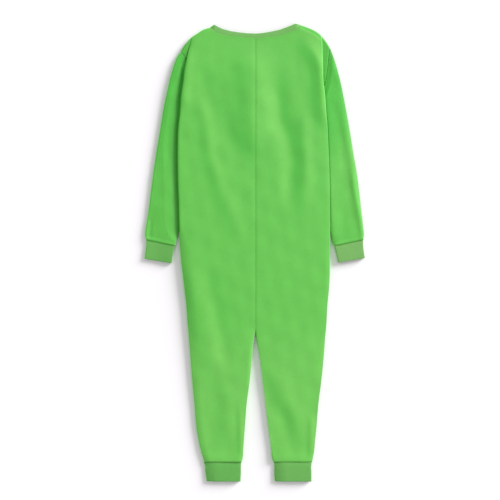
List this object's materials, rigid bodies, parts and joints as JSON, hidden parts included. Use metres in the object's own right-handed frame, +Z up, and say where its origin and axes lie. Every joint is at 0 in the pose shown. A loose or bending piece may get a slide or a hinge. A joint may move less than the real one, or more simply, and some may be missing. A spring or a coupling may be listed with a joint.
{
  "type": "onesie pajama",
  "caption": "One-piece pyjama suit in brushed jersey, laid flat on its front, with long sleeves, full legs, a ribbed neckband and ribbed cuffs.",
  "frame": {"origin": "middle of the garment's outline as it lies, on the surface it lies on", "axes": "+X towards the wearer's right sleeve, +Y from the ankles to the neck, +Z up out of the garment's back"},
  "size_m": [0.6978, 1.449, 0.0201],
  "materials": {
    "jersey": "bright lime-green brushed sweat jersey, matt",
    "rib": "duller green 1 x 1 rib knit, matt",
    "buttons": "green plastic, satin"
  },
  "bodies": {
    "root": {"back_left": "jersey", "back_right": "jersey", "front_left": "jersey", "front_right": "jersey", "sleeve_left": "jersey", "sleeve_right": "jersey", "placket_top": "jersey", "placket_under": "jersey", "neckband": "rib", "cuff_wrist_left": "rib", "cuff_wrist_right": "rib", "cuff_ankle_left": "rib", "cuff_ankle_right": "rib", "button_1": "buttons", "button_2": "buttons", "button_3": "buttons", "button_4": "buttons", "button_5": "buttons"}
  },
  "joints": []
}
